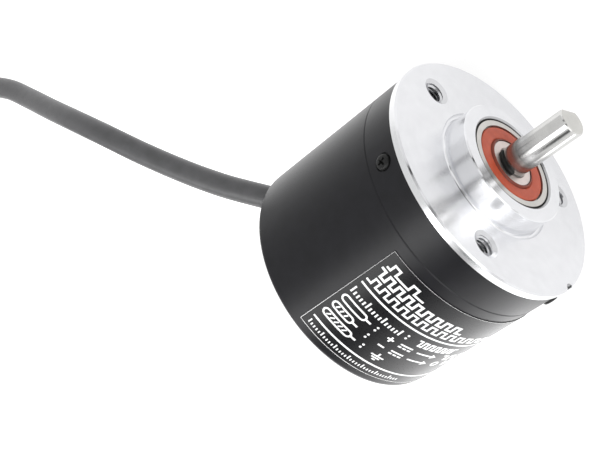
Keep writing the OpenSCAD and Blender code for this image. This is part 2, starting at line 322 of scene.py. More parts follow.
# Print on the label: strokes in (s, z) mm, s along the arc and z along the axis, raised from the foil
LABEL_A0, LABEL_R = 271.7, 24.82
INK0, INK1 = 24.80, 24.845
ink = Shell()


def on_label(s, z, r):
    return polar(r, LABEL_A0 + math.degrees(s / LABEL_R), z)


def stroke(pts, w, closed=False, widths=None):
    """A line of even width with mitred corners, as a thin solid that follows the cylinder."""
    fine, wid = [], []
    n = len(pts)
    widths = widths or [w] * n
    for i in range(n if closed else n - 1):
        a, b = pts[i], pts[(i + 1) % n]
        wa, wb = widths[i], widths[(i + 1) % n]
        k = max(1, math.ceil(abs(b[0] - a[0]) / 0.9))
        for j in range(k):
            fine.append((a[0] + (b[0] - a[0]) * j / k, a[1] + (b[1] - a[1]) * j / k))
            wid.append(wa + (wb - wa) * j / k)
    if not closed:
        fine.append(pts[-1])
        wid.append(widths[-1])
    m = len(fine)
    verts, faces = [], []
    for i, p in enumerate(fine):
        nrm = []
        for q0, q1 in ((fine[i - 1] if i or closed else None, p), (p, fine[(i + 1) % m] if i < m - 1 or closed else None)):
            if q0 is None or q1 is None:
                continue
            dx, dy = q1[0] - q0[0], q1[1] - q0[1]
            ln = math.hypot(dx, dy)
            nrm.append((-dy / ln, dx / ln))
        if len(nrm) == 1:
            ox, oy = nrm[0]
        else:
            k = 1 + nrm[0][0] * nrm[1][0] + nrm[0][1] * nrm[1][1]
            ox, oy = (nrm[0][0] + nrm[1][0]) / k, (nrm[0][1] + nrm[1][1]) / k
        h = wid[i] / 2
        left, rgt = (p[0] + ox * h, p[1] + oy * h), (p[0] - ox * h, p[1] - oy * h)
        verts += [on_label(*left, INK1), on_label(*rgt, INK1), on_label(*rgt, INK0), on_label(*left, INK0)]
    for i in range(m if closed else m - 1):
        a, b = i * 4, ((i + 1) % m) * 4
        for k in range(4):
            faces.append((a + k, a + (k + 1) % 4, b + (k + 1) % 4, b + k))
    if not closed:
        faces.append((3, 2, 1, 0))
        e = (m - 1) * 4
        faces.append((e, e + 1, e + 2, e + 3))
    ink.add(verts, faces)


def dot(s, z, r, n=14):
    top = [on_label(s + r * math.cos(2 * math.pi * k / n), z + r * math.sin(2 * math.pi * k / n), INK1) for k in range(n)]
    low = [on_label(s + r * math.cos(2 * math.pi * k / n), z + r * math.sin(2 * math.pi * k / n), INK0) for k in range(n)]
    faces = [tuple(range(n)), tuple(range(2 * n - 1, n - 1, -1))]
    faces += [(k, n + k, n + (k + 1) % n, (k + 1) % n) for k in range(n)]
    ink.add(top + low, faces)


def circle(s, z, r, w, n=28):
    stroke([(s + r * math.cos(2 * math.pi * k / n), z + r * math.sin(2 * math.pi * k / n)) for k in range(n)], w, closed=True)


def wave(s0, s1, z, h, period, w, shift=0.0, duty=0.5):
    """Square pulses between two heights."""
    lo_z, hi_z = z - h / 2, z + h / 2
    t, edges = s0 - shift, []
    while t < s1:
        edges += [(t, 1), (t + period * duty, 0)]
        t += period
    state = 0
    for e, v in edges:
        if e <= s0 + 0.3:
            state = v
    pts = [(s0, hi_z if state else lo_z)]
    for e, v in edges:
        if s0 + 0.3 < e < s1 - 0.3:
            pts += [(e, pts[-1][1]), (e, hi_z if v else lo_z)]
    pts.append((s1, pts[-1][1]))
    stroke(pts, w)


def capsule(s0, s1, z, h, w):
    """Outline of a length of insulated wire."""
    r = h / 2
    pts = [(s1 - r + r * math.cos(math.radians(a)), z + r * math.sin(math.radians(a))) for a in range(-90, 91, 30)]
    pts += [(s0 + r + r * math.cos(math.radians(a)), z + r * math.sin(math.radians(a))) for a in range(90, 271, 30)]
    stroke(pts, w, closed=True)


def colon(s, z):
    dot(s, z + 0.45, 0.26)
    dot(s, z - 0.45, 0.26)


def scale_ticks(s0, s1, z, h, pitch, w, every=5):
    k, t = 0, s0
    while t <= s1 + 1e-6:
        top = z + h / 2 if k % every == 0 else z + h * 0.05
        stroke([(t, z - h / 2), (t, top)], w)
        t += pitch
        k += 1


def direct_current(s, z):
    stroke([(s, z + 0.38), (s + 3.0, z + 0.38)], 0.38)
    for k in range(3):
        stroke([(s + 1.1 * k, z - 0.42), (s + 1.1 * k + 0.8, z - 0.42)], 0.38)


def arrow(s0, s1, z):
    stroke([(s0, z), (s1 - 1.1, z)], 0.38)
    stroke([(s1 - 1.2, z), (s1, z)], 0.0, widths=[1.5, 0.06])


# a thin white line round the label's edge, thinning from one side to the next: a painted highlight for the glint on the
# foil's edge, drawn as ink
stroke([(0.15, -36.9), (45.1, -36.9), (45.1, -11.2), (0.15, -11.2)], 0.0, closed=True, widths=[0.09, 0.08, 0.05, 0.03])
# output signals: index pulse and two trains a quarter period apart
wave(1.5, 11.0, -13.7, 1.5, 4.8, 0.44, shift=-0.9, duty=0.3)
wave(1.1, 23.0, -16.2, 1.7, 2.4, 0.50)
wave(1.1, 43.6, -18.7, 1.5, 2.4, 0.42, shift=1.2)
stroke([(1.1, -20.75), (44.2, -20.75)], 0.42)
# wires of the cable and what each one carries
scale_ticks(1.4, 13.7, -23.2, 1.7, 0.82, 0.36)
colon(15.4, -23.2)
wave(18.0, 28.4, -23.2, 1.6, 1.56, 0.38)
capsule(1.3, 7.4, -25.9, 1.5, 0.40)
stroke([(7.55, -25.9), (8.7, -25.9)], 0.44)
colon(10.2, -25.9)
stroke([(13.0, -25.9), (14.5, -25.9)], 0.40)
stroke([(13.75, -25.15 - 0.76), (13.75, -25.15)], 0.40)
stroke([(13.75, -26.65), (13.75, -25.89)], 0.40)
direct_current(16.0, -25.9)
arrow(20.4, 25.4, -25.9)
wave(27.2, 38.6, -25.9, 1.6, 2.4, 0.40)
capsule(1.3, 6.4, -28.55, 1.5, 0.40)
for k in range(3):
    stroke([(2.35 + 1.1 * k, -28.95), (2.75 + 1.1 * k, -28.15)], 0.34)
stroke([(6.55, -28.55), (7.7, -28.55)], 0.44)
colon(10.2, -28.55)
stroke([(13.0, -28.55), (14.5, -28.55)], 0.40)
direct_current(16.0, -28.55)
arrow(20.4, 25.4, -28.55)
circle(27.9, -28.55, 0.72, 0.40)
wave(30.2, 41.5, -28.55, 1.6, 2.4, 0.40, shift=0.8)
capsule(1.3, 8.4, -31.2, 1.5, 0.40)
for k in range(5):
    stroke([(2.3 + 1.05 * k, -31.6), (2.9 + 1.05 * k, -30.8)], 0.30)
stroke([(8.55, -31.2), (9.7, -31.2)], 0.44)
colon(11.4, -31.2)
stroke([(15.4, -30.35), (15.4, -31.2)], 0.40)
for k, half in enumerate((1.5, 0.95, 0.4)):
    stroke([(15.4 - half, -31.34 - 0.58 * k), (15.4 + half, -31.34 - 0.58 * k)], 0.34)
stroke([(1.1, -33.95), (44.2, -33.95)], 0.42)
scale_ticks(1.6, 24.6, -35.5, 1.1, 0.69, 0.28)
label_print = ink.build("label_print", 40)
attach(label_print, "housing")

# Thread in the three mounting holes
HOLE_A = (178.0, 298.0, 58.0)
thread = Shell()
for a in HOLE_A:
    cx, cy = 19.0 * math.cos(math.radians(a)), 19.0 * math.sin(math.radians(a))
    turns, per, pitch = 9.2, 40, 0.7
    steps = int(turns * per)
    rings = []
    for k in range(steps + 1):
        t = k / per
        fade = min(1.0, t / 0.6, (turns - t) / 0.6)
        crest = 2.02 - 0.37 * max(fade, 0.02)
        q = math.radians(a) + 2 * math.pi * t
        z = -0.45 - pitch * t
        rings.append([E(cx + r * math.cos(q), cy + r * math.sin(q), z + dz)
                      for r, dz in ((2.04, 0.30), (crest, 0.05), (crest, -0.05), (2.04, -0.30))])
    v, f = sweep(rings, lambda i: rings[i], 4)
    thread.add(v, f)
hole_threads = thread.build("hole_threads", 50)
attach(hole_threads, "housing")

# Seals of the front bearing: a moulded face between two lips
SEAL = [(7.95, 2.25), (7.95, 2.40), (7.82, 2.42), (7.80, 2.76), (7.72, 2.86), (7.56, 2.90), (6.6, 2.86), (5.64, 2.88), (5.48, 2.85),
        (5.39, 2.74), (5.30, 2.70), (5.23, 2.78), (5.17, 2.94), (5.10, 3.08), (5.01, 3.16), (4.91, 3.18), (4.84, 3.15), (4.82, 3.09),
        (4.86, 3.04), (5.03, 3.04), (5.09, 2.96), (5.11, 2.70), (5.16, 2.25)]
seal_mesh = Shell()
for flip in (1, -1):
    seal_mesh.add(*lathe([(r, 1.5 + flip * z) for r, z in SEAL], 128))
front_seals = seal_mesh.build("front_seals", 40)
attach(front_seals, "housing")
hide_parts("front_bearing_seals")

# Clip on the shaft: a broad crescent, with arms that lie in the groove
CLIP = [(127, 2.9), (197, 2.9), (201, 3.2), (212, 3.40), (230, 3.50), (245, 3.64), (258, 3.82), (270, 3.96), (286, 3.98), (296, 3.86), (301, 3.5), (303, 2.9), (377, 2.9)]
clip_v, clip_f = [], []
for k in range(126):
    a = 127 + 2 * k
    for (a0, r0), (a1, r1) in zip(CLIP, CLIP[1:]):
        if a0 <= a <= a1:
            ro = r0 + (r1 - r0) * (a - a0) / (a1 - a0)
    section = [(2.5, 4.56), (ro - 0.05, 4.56), (ro, 4.61), (ro, 5.05), (ro - 0.05, 5.1), (2.5, 5.1)]
    clip_v += [polar(r, a, z) for r, z in section]
    if k:
        clip_f += [((k - 1) * 6 + i, (k - 1) * 6 + (i + 1) % 6, k * 6 + (i + 1) % 6, k * 6 + i) for i in range(6)]
clip_f += [(5, 4, 3, 2, 1, 0), tuple(125 * 6 + i for i in range(6))]
shaft_clip = mesh_object("shaft_clip", clip_v, clip_f, 30)
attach(shaft_clip, "rotor")
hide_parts("retaining_ring")


# Cover screws: pan heads with a tapered cross recess
def cut(ob, verts, faces):
    tool = mesh_object("recess_tool", verts, faces)
    mod = ob.modifiers.new("recess", "BOOLEAN")
    mod.operation = "DIFFERENCE"
    mod.solver = "EXACT"
    mod.object = tool
    dg = bpy.context.evaluated_depsgraph_get()
    me = bpy.data.meshes.new_from_object(ob.evaluated_get(dg))
    ob.modifiers.clear()
    old, ob.data = ob.data, me
    bpy.data.meshes.remove(old)
    tm = tool.data
    bpy.data.objects.remove(tool)
    bpy.data.meshes.remove(tm)


def taper_box(to, top, bottom, z1, z0):
    v = [to((sx * top[0], sy * top[1], z1)) for sx, sy in ((-1, -1), (1, -1), (1, 1), (-1, 1))]
    v += [to((sx * bottom[0], sy * bottom[1], z0)) for sx, sy in ((-1, -1), (1, -1), (1, 1), (-1, 1))]
    return v, [(0, 1, 2, 3), (7, 6, 5, 4), (0, 4, 5, 1), (1, 5, 6, 2), (2, 6, 7, 3), (3, 7, 4, 0)]


HEAD = [(0, 0.92), (0.4, 0.918), (0.75, 0.905), (1.0, 0.875), (1.2, 0.82), (1.35, 0.735), (1.45, 0.62), (1.5, 0.46), (1.52, 0.25), (1.52, 0.0), (1.0, 0.0)]
z = 0.0
while z > -5.6:
    HEAD += [(1.0, z - 0.06), (0.83, z - 0.2), (0.83, z - 0.24), (1.0, z - 0.38)]
    z -= 0.4
HEAD += [(0.8, -6.0), (0.6, -6.2), (0, -6.2)]
screw_objs = []
for a, turn in ((238.0, 65.0), (358.0, 63.0), (118.0, 40.0)):
    ca, sa = math.cos(math.radians(a)), math.sin(math.radians(a))
    ct, st = math.cos(math.radians(turn)), math.sin(math.radians(turn))

    def out(p, ca=ca, sa=sa, ct=ct, st=st):
        x, y = p[0] * ct - p[1] * st, p[0] * st + p[1] * ct
        r = 24.35 + p[2]
        return E(r * ca - y * sa, r * sa + y * ca, -5.0 + x)

    v, f = turned_solid(HEAD, 64, out)
    ob = mesh_object("cover_screw_%d" % (len(screw_objs) + 1), v, f, 40)
    cut(ob, *taper_box(out, (1.02, 0.25), (0.40, 0.16), 1.05, 0.30))
    cut(ob, *taper_box(out, (0.25, 1.02), (0.16, 0.40), 1.05, 0.295))
    smooth(ob, 38)
    screw_objs.append(ob)
    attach(ob, "housing")
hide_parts("cover_screws")


# Tie around the coil: a strap that hugs the bundle, and its ratchet head
def tie_frame(rho, side, z):
    q = math.radians(20.0)
    return Vector((COIL_C[0] + rho * math.cos(q) - side * math.sin(q), COIL_C[1] + rho * math.sin(q) + side * math.cos(q), z)) * MM


tie_mesh = Shell()
hug, half_t, half_w = 2.79, 0.22, 1.8
corners = [((30.7, -1.5), 0), ((19.5, -1.5), 90), ((19.5, -21.9), 180), ((30.7, -21.9), 270)]
line = []
for (cx, cz), a0 in corners:
    for k in range(9):
        a = math.radians(a0 + 90 * k / 8)
        line.append((cx, cz, a))
rings = []
for cx, cz, a in line:
    ring = []
    for dr, dw in ((half_t, -half_w + 0.15), (half_t, half_w - 0.15), (half_t - 0.15, half_w), (-half_t + 0.15, half_w),
                   (-half_t, half_w - 0.15), (-half_t, -half_w + 0.15), (-half_t + 0.15, -half_w), (half_t - 0.15, -half_w)):
        ring.append(tie_frame(cx + (hug + dr) * math.cos(a), dw, cz + (hug + dr) * math.sin(a)))
    rings.append(ring)
nr = len(rings)
v = [p for ring in rings for p in ring]
f = []
for i in range(nr):
    for k in range(8):
        a, b = i * 8 + k, i * 8 + (k + 1) % 8
        c, d = ((i + 1) % nr) * 8 + (k + 1) % 8, ((i + 1) % nr) * 8 + k
        f.append((a, b, c, d))
tie_mesh.add(v, f)


def block(c0, c1, bevel):
    """A box with bevelled edges in the tie's frame: corners in (rho, side, z)."""
    bm = bmesh.new()
    bmesh.ops.create_cube(bm, size=1.0)
    for vert in bm.verts:
        vert.co = Vector([c0[k] + (c1[k] - c0[k]) * (vert.co[k] + 0.5) for k in range(3)])
    bmesh.ops.bevel(bm, geom=list(bm.edges), offset=bevel, segments=3, profile=0.5, affect="EDGES")
    bm.verts.index_update()
    vs = [tie_frame(*vert.co) for vert in bm.verts]
    fs = [tuple(vert.index for vert in face.verts) for face in bm.faces]
    bm.free()
    return vs, fs


tie_mesh.add(*block((33.45, -2.6, -18.0), (36.8, 2.6, -13.4), 0.45))
tie_mesh.add(*block((33.75, -1.7, -13.6), (34.45, 1.7, -11.2), 0.15))
tie_mesh.add(*block((35.3, -1.3, -17.0), (37.05, 1.3, -14.4), 0.3))
cable_tie = tie_mesh.build("cable_strap", 40)
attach(cable_tie, "housing")
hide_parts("cable_tie")


# ---------------------------------------------------------------- materials
def new_mat(name):
    m = bpy.data.materials.new(name)
    m.use_nodes = True
    nt = m.node_tree
    bsdf = nt.nodes["Principled BSDF"]
    return m, nt, bsdf


def N(nt, kind, **props):
    n = nt.nodes.new(kind)
    for k, v in props.items():
        setattr(n, k, v)
    return n


def coords(nt, scale=1000.0):
    """Object coordinates in millimetres."""
    tc = N(nt, "ShaderNodeTexCoord")
    m = N(nt, "ShaderNodeVectorMath", operation="SCALE")
    m.inputs["Scale"].default_value = scale
    nt.links.new(tc.outputs["Object"], m.inputs[0])
    return m.outputs[0]


def noise(nt, vec, scale, detail=2.0, rough=0.5):
    n = N(nt, "ShaderNodeTexNoise")
    n.inputs["Scale"].default_value = scale
    n.inputs["Detail"].default_value = detail
    n.inputs["Roughness"].default_value = rough
    if vec is not None:
        nt.links.new(vec, n.inputs["Vector"])
    return n.outputs["Fac"]


def remap(nt, src, a0, a1, b0, b1):
    n = N(nt, "ShaderNodeMapRange")
    n.inputs["From Min"].default_value = a0
    n.inputs["From Max"].default_value = a1
    n.inputs["To Min"].default_value = b0
    n.inputs["To Max"].default_value = b1
    nt.links.new(src, n.inputs["Value"])
    return n.outputs["Result"]


def smoothstep(nt, src, a, b, lo, hi):
    n = N(nt, "ShaderNodeMapRange", interpolation_type="SMOOTHSTEP")
    n.inputs["From Min"].default_value = a
    n.inputs["From Max"].default_value = b
    n.inputs["To Min"].default_value = lo
    n.inputs["To Max"].default_value = hi
    nt.links.new(src, n.inputs["Value"])
    return n.outputs["Result"]


def add(nt, a, b, op="ADD"):
    n = N(nt, "ShaderNodeMath", operation=op)
    for i, v in enumerate((a, b)):
        if isinstance(v, (int, float)):
            n.inputs[i].default_value = v
        else:
            nt.links.new(v, n.inputs[i])
    return n.outputs[0]


def ramp(nt, src, stops):
    n = N(nt, "ShaderNodeValToRGB")
    el = n.color_ramp.elements
    while len(el) < len(stops):
        el.new(0.5)
    for e, (p, c) in zip(el, stops):
        e.position = p
        e.color = (*c, 1.0)
    nt.links.new(src, n.inputs["Fac"])
    return n.outputs["Color"]


def bump(nt, bsdf, height, strength, dist):
    b = N(nt, "ShaderNodeBump")
    b.inputs["Strength"].default_value = strength
    b.inputs["Distance"].default_value = dist
    nt.links.new(height, b.inputs["Height"])
    nt.links.new(b.outputs["Normal"], bsdf.inputs["Normal"])
    return b


def turned_coords(nt):
    """(distance from the shaft axis, place along it) in mm, so that rings follow the turning."""
    v = coords(nt)
    s = N(nt, "ShaderNodeSeparateXYZ")
    nt.links.new(v, s.inputs[0])
    c = N(nt, "ShaderNodeCombineXYZ")
    nt.links.new(s.outputs["Y"], c.inputs["X"])
    nt.links.new(s.outputs["Z"], c.inputs["Y"])
    ln = N(nt, "ShaderNodeVectorMath", operation="LENGTH")
    nt.links.new(c.outputs[0], ln.inputs[0])
    out = N(nt, "ShaderNodeCombineXYZ")
    nt.links.new(ln.outputs["Value"], out.inputs["X"])
    nt.links.new(s.outputs["X"], out.inputs["Y"])
    return v, out.outputs[0]


def painted_groove_shade(nt, color, t, r0, r1, x0, tint):
    """Painted shade: the colour, darkened in a turned groove between two radii, in front of x0."""
    s = N(nt, "ShaderNodeSeparateXYZ")
    nt.links.new(t, s.inputs[0])
    mask = smoothstep(nt, s.outputs["X"], r0 - 0.04, r0 + 0.04, 0.0, 1.0)
    mask = add(nt, mask, smoothstep(nt, s.outputs["X"], r1 - 0.04, r1 + 0.04, 1.0, 0.0), "MULTIPLY")
    mask = add(nt, mask, smoothstep(nt, s.outputs["Y"], x0 - 0.04, x0 + 0.04, 0.0, 1.0), "MULTIPLY")
    mix = N(nt, "ShaderNodeMix", data_type="RGBA", blend_type="MULTIPLY")
    nt.links.new(mask, mix.inputs[0])
    nt.links.new(color, mix.inputs[6])
    mix.inputs[7].default_value = (*tint, 1.0)
    return mix.outputs[2]


def painted_shade_along(nt, color, t, x0, x1, tint):
    """Painted shade: the colour, changing to a darker tinted one along the shaft from x0 to x1."""
    s = N(nt, "ShaderNodeSeparateXYZ")
    nt.links.new(t, s.inputs[0])
    mix = N(nt, "ShaderNodeMix", data_type="RGBA", blend_type="MULTIPLY")
    nt.links.new(smoothstep(nt, s.outputs["Y"], x0, x1, 0.0, 1.0), mix.inputs[0])
    nt.links.new(color, mix.inputs[6])
    mix.inputs[7].default_value = (*tint, 1.0)
    return mix.outputs[2]


def lightened(nt, color, t, r0, tint, r1=None):
    """Painted light: the colour, changing to a lighter given one outside a radius, or between two radii."""
    s = N(nt, "ShaderNodeSeparateXYZ")
    nt.links.new(t, s.inputs[0])
    mix = N(nt, "ShaderNodeMix", data_type="RGBA")
    amount = smoothstep(nt, s.outputs["X"], r0 - 0.03, r0 + 0.03, 0.0, 0.8)
    if r1:
        amount = add(nt, amount, smoothstep(nt, s.outputs["X"], r1 - 0.03, r1 + 0.03, 0.8, 0.0), "MINIMUM")
    nt.links.new(amount, mix.inputs[0])
    nt.links.new(color, mix.inputs[6])
    mix.inputs[7].default_value = (*tint, 1.0)
    return mix.outputs[2]


def in_holes(nt, color, v, tint, places, radius):
    """Painted shade: the colour, darkened within a radius of some lines along the shaft, such as the mouths of holes.
    """
    s = N(nt, "ShaderNodeSeparateXYZ")
    nt.links.new(v, s.inputs[0])
    near = None
    for r, a in places:
        c = N(nt, "ShaderNodeCombineXYZ")
        nt.links.new(s.outputs["Y"], c.inputs["Y"])
        nt.links.new(s.outputs["Z"], c.inputs["Z"])
        d = N(nt, "ShaderNodeVectorMath", operation="DISTANCE")
        nt.links.new(c.outputs[0], d.inputs[0])
        at = polar(r, a, 0.0) * 1000
        d.inputs[1].default_value = (0, at.y, at.z)
        near = d.outputs["Value"] if near is None else add(nt, near, d.outputs["Value"], "MINIMUM")
    mix = N(nt, "ShaderNodeMix", data_type="RGBA", blend_type="MULTIPLY")
    nt.links.new(smoothstep(nt, near, radius - 0.06, radius + 0.06, 1.0, 0.0), mix.inputs[0])
    nt.links.new(color, mix.inputs[6])
    mix.inputs[7].default_value = (*tint, 1.0)
    return mix.outputs[2]


def turned_metal(name, stops, rough, aniso, fine=9.0, bump_mm=0.002, blotch=0.35, shaded_grooves=(), rim=None, shade_spans=(), holes=None, notch=None, polish=(), side=None):
    m, nt, b = new_mat(name)
    v, t = turned_coords(nt)
    rings = noise(nt, t, fine, 3.0, 0.6)
    broad = noise(nt, t, fine * 0.12, 2.0, 0.5)
    cloud = noise(nt, v, blotch, 3.0, 0.55)
    mix = N(nt, "ShaderNodeMath", operation="ADD")
    nt.links.new(remap(nt, rings, 0.3, 0.7, 0.0, 0.5), mix.inputs[0])
    nt.links.new(remap(nt, cloud, 0.3, 0.7, 0.0, 0.5), mix.inputs[1])
    color = ramp(nt, mix.outputs[0], stops)
    # painted shade in turned grooves and creases
    for groove in shaded_grooves:
        color = painted_groove_shade(nt, color, t, *groove)
    # painted shade along the shaft
    for shade_span in shade_spans:
        color = painted_shade_along(nt, color, t, *shade_span)
    # painted shade in the mouths of the mounting holes
    if holes:
        color = in_holes(nt, color, v, holes, [(19.0, a) for a in HOLE_A], 2.84)
    # painted light: the rim lighter than the face; its rougher finish below is real
    if rim:
        color = lightened(nt, color, t, rim[0], rim[2])
    # painted light: the boss side lighter than the face
    if side:
        color = lightened(nt, color, t, side[0], side[2], side[1])
    # painted shade in the notch on the rim
    if notch:
        color = in_holes(nt, color, v, notch, [(25.05, 357.0)], 1.08)
    nt.links.new(color, b.inputs["Base Color"])
    b.inputs["Metallic"].default_value = 1.0
    rr = N(nt, "ShaderNodeMath", operation="ADD")
    nt.links.new(remap(nt, rings, 0.3, 0.7, rough * 0.8, rough * 1.2), rr.inputs[0])
    nt.links.new(remap(nt, broad, 0.3, 0.7, -0.02, 0.03), rr.inputs[1])
    finish = rr.outputs[0]
    if rim:
        s = N(nt, "ShaderNodeSeparateXYZ")
        nt.links.new(t, s.inputs[0])
        finish = add(nt, finish, smoothstep(nt, s.outputs["X"], rim[0] - 0.03, rim[0] + 0.03, 0.0, rim[1]))
    for r0, r1 in polish:
        s = N(nt, "ShaderNodeSeparateXYZ")
        nt.links.new(t, s.inputs[0])
        cutter = add(nt, smoothstep(nt, s.outputs["X"], r0 - 0.02, r0 + 0.02, 1.0, 0.45), smoothstep(nt, s.outputs["X"], r1 - 0.02, r1 + 0.02, 0.45, 1.0), "MAXIMUM")
        finish = add(nt, finish, cutter, "MULTIPLY")
    nt.links.new(finish, b.inputs["Roughness"])
    if aniso:
        b.inputs["Anisotropic"].default_value = aniso
        b.inputs["Anisotropic Rotation"].default_value = 0.25
        tg = N(nt, "ShaderNodeTangent", direction_type="RADIAL", axis="X")
        nt.links.new(tg.outputs["Tangent"], b.inputs["Tangent"])
    bump(nt, b, rings, 0.25, bump_mm * MM)
    return m


def plastic(name, stops, rough, spec=0.5, grain=6.0, bump_mm=0.01, strength=0.2, cloud=0.4, band=None):
    m, nt, b = new_mat(name)
    v = coords(nt)
    g = noise(nt, v, grain, 3.0, 0.6)
    c = noise(nt, v, cloud, 2.0, 0.5)
    color = ramp(nt, c, stops)
    # band: a ring of painted shade
    if band:
        color = painted_groove_shade(nt, color, turned_coords(nt)[1], *band)
    nt.links.new(color, b.inputs["Base Color"])
    nt.links.new(remap(nt, g, 0.3, 0.7, rough * 0.85, rough * 1.15), b.inputs["Roughness"])
    b.inputs["Specular IOR Level"].default_value = spec
    bump(nt, b, g, strength, bump_mm * MM)
    return m


M = {}
# Flange, one metal throughout: the rim and boss side are lighter with painted light; the hole mouths, rim notch and
# bearing seat groove are darker with painted shade
M["alu"] = turned_metal("turned_aluminium", [(0.2, (0.718, 0.721, 0.740)), (0.8, (0.766, 0.769, 0.788))], 0.22, 0.92, rim=(24.93, 0.06, (0.80, 0.805, 0.815)), holes=(0.82, 0.82, 0.82), notch=(0.16, 0.16, 0.16),
                        polish=((12.28, 12.46), (12.54, 13.50), (24.68, 24.90)), side=(12.45, 12.56, (0.88, 0.885, 0.90)),
                        shaded_grooves=((9.40, 9.60, 3.0, (0.12, 0.12, 0.12)), (9.60, 9.88, 4.2, (0.6, 0.6, 0.6))))
# Shaft: painted shade, darker towards its base and on its end face
M["steel"] = turned_metal("ground_steel", [(0.2, (0.60, 0.597, 0.585)), (0.8, (0.68, 0.677, 0.664))], 0.15, 0.84, fine=14.0,
                          shade_spans=((13.5, 9.8, (0.80, 0.80, 0.80)), (9.6, 8.4, (0.76, 0.76, 0.76)), (18.94, 18.99, (0.85, 0.845, 0.825))))
# Outer ring: its chamfer by the seat darkened with painted shade
M["bearing"] = turned_metal("bearing_steel", [(0.2, (0.50, 0.483, 0.46)), (0.8, (0.60, 0.58, 0.555))], 0.30, 0.6, fine=12.0, shaded_grooves=((9.20, 9.7, -30.0, (0.1, 0.1, 0.1)),))
# Inner ring: the reddish tint in its grey is a painted reflection of the red seals beside it
M["inner"] = turned_metal("ground_ring", [(0.2, (0.58, 0.51, 0.485)), (0.8, (0.68, 0.60, 0.57))], 0.40, 0.3, fine=12.0)
M["black"] = plastic("satin_black", [(0.3, (0.004, 0.004, 0.0055)), (0.7, (0.006, 0.006, 0.008))], 0.36, 0.25, grain=9.0, bump_mm=0.006, strength=0.25)
M["label"] = plastic("label_black", [(0.3, (0.005, 0.005, 0.006)), (0.7, (0.007, 0.007, 0.008))], 0.3, 0.22, grain=3.0, bump_mm=0.003)
M["ink"] = plastic("label_ink", [(0.3, (0.80, 0.80, 0.80)), (0.7, (0.86, 0.86, 0.86))], 0.45, 0.4, grain=14.0, bump_mm=0.003)
M["screw"] = plastic("black_oxide", [(0.3, (0.006, 0.006, 0.006)), (0.7, (0.010, 0.010, 0.010))], 0.42, 0.25, grain=7.0)
M["rubber"] = plastic("black_rubber", [(0.3, (0.013, 0.013, 0.013)), (0.7, (0.02, 0.02, 0.02))], 0.55, 0.4, grain=4.0)
# Seal: its lip's inner band darkened with painted shade
M["seal"] = plastic("red_seal", [(0.3, (0.40, 0.053, 0.018)), (0.7, (0.49, 0.075, 0.026))], 0.44, 0.40, grain=3.0, bump_mm=0.01, cloud=0.5, band=(4.5, 5.32, 3.5, (0.40, 0.42, 0.45)))
M["clip"] = plastic("black_clip", [(0.3, (0.005, 0.005, 0.005)), (0.7, (0.009, 0.009, 0.008))], 0.45, 0.2, grain=5.0)
M["jacket"] = plastic("cable_pvc", [(0.3, (0.052, 0.052, 0.054)), (0.7, (0.068, 0.068, 0.071))], 0.40, 0.5, grain=2.2, bump_mm=0.02, strength=0.25)
M["brass"] = turned_metal("turned_brass", [(0.2, (0.62, 0.45, 0.18)), (0.8, (0.75, 0.57, 0.27))], 0.28, 0.2)
M["zinc"] = turned_metal("plated_steel", [(0.2, (0.55, 0.56, 0.57)), (0.8, (0.68, 0.69, 0.70))], 0.3, 0.0)
M["cage"] = turned_metal("pressed_cage", [(0.2, (0.45, 0.40, 0.30)), (0.8, (0.58, 0.53, 0.42))], 0.35, 0.0)
M["disc"] = turned_metal("etched_disc", [(0.2, (0.45, 0.50, 0.55)), (0.8, (0.60, 0.65, 0.70))], 0.25, 0.0)
M["board"] = plastic("solder_mask", [(0.3, (0.008, 0.075, 0.03)), (0.7, (0.012, 0.10, 0.04))], 0.35, 0.5)
M["chip"] = plastic("chip_plastic", [(0.3, (0.015, 0.015, 0.015)), (0.7, (0.025, 0.025, 0.025))], 0.5, 0.4)
M["can"] = turned_metal("capacitor_can", [(0.2, (0.30, 0.33, 0.36)), (0.8, (0.40, 0.43, 0.46))], 0.35, 0.0)
M["ivory"] = plastic("connector_ivory", [(0.3, (0.70, 0.66, 0.52)), (0.7, (0.78, 0.74, 0.60))], 0.45, 0.4)
M["tie"] = plastic("tie_nylon", [(0.3, (0.02, 0.02, 0.02)), (0.7, (0.03, 0.03, 0.03))], 0.35, 0.5)
M["copper"] = turned_metal("tinned_copper", [(0.2, (0.62, 0.40, 0.26)), (0.8, (0.75, 0.55, 0.40))], 0.3, 0.0)
M["led"] = plastic("led_epoxy", [(0.3, (0.72, 0.66, 0.72)), (0.7, (0.8, 0.74, 0.8))], 0.15, 0.5)
M["wire"] = plastic("inner_wire", [(0.3, (0.55, 0.22, 0.04)), (0.7, (0.65, 0.28, 0.06))], 0.4, 0.5)

LOOK = {
    "flange": "alu", "cover": "black", "cover_seal_ring": "rubber", "rating_label": "label",
    "front_bearing_outer_ring": "bearing", "front_bearing_inner_ring": "inner", "front_bearing_balls": "bearing",
    "front_bearing_cage": "cage", "rear_bearing_outer_ring": "bearing",
    "rear_bearing_inner_ring": "inner", "rear_bearing_balls": "bearing", "rear_bearing_cage": "cage",
    "rear_bearing_seals": "seal", "preload_washer": "zinc", "shaft": "steel", "retaining_ring": "clip",
    "spacer_sleeve": "zinc", "disc_hub": "brass", "hub_set_screws": "clip", "code_disc": "disc", "disc_clamp_ring": "brass",
    "led_holder": "chip", "led_emitter": "led", "mask_plate": "disc", "photo_detector": "chip", "main_board": "board",
    "board_posts": "brass", "board_screws": "zinc", "signal_chip": "chip", "driver_chips": "chip",
    "smoothing_capacitor": "can", "wire_connector": "ivory", "inner_leads": "wire", "cable_bush": "rubber",
    "cable_clamp": "zinc",
}


def paint(ob, mat):
    ob.data.materials.clear()
    ob.data.materials.append(mat)


for n, key in LOOK.items():
    paint(NODES[n], M[key])
    smooth(NODES[n], 30)
paint(cable, M["jacket"])
paint(label_print, M["ink"])
paint(hole_threads, M["alu"])
paint(front_seals, M["seal"])
paint(shaft_clip, M["clip"])
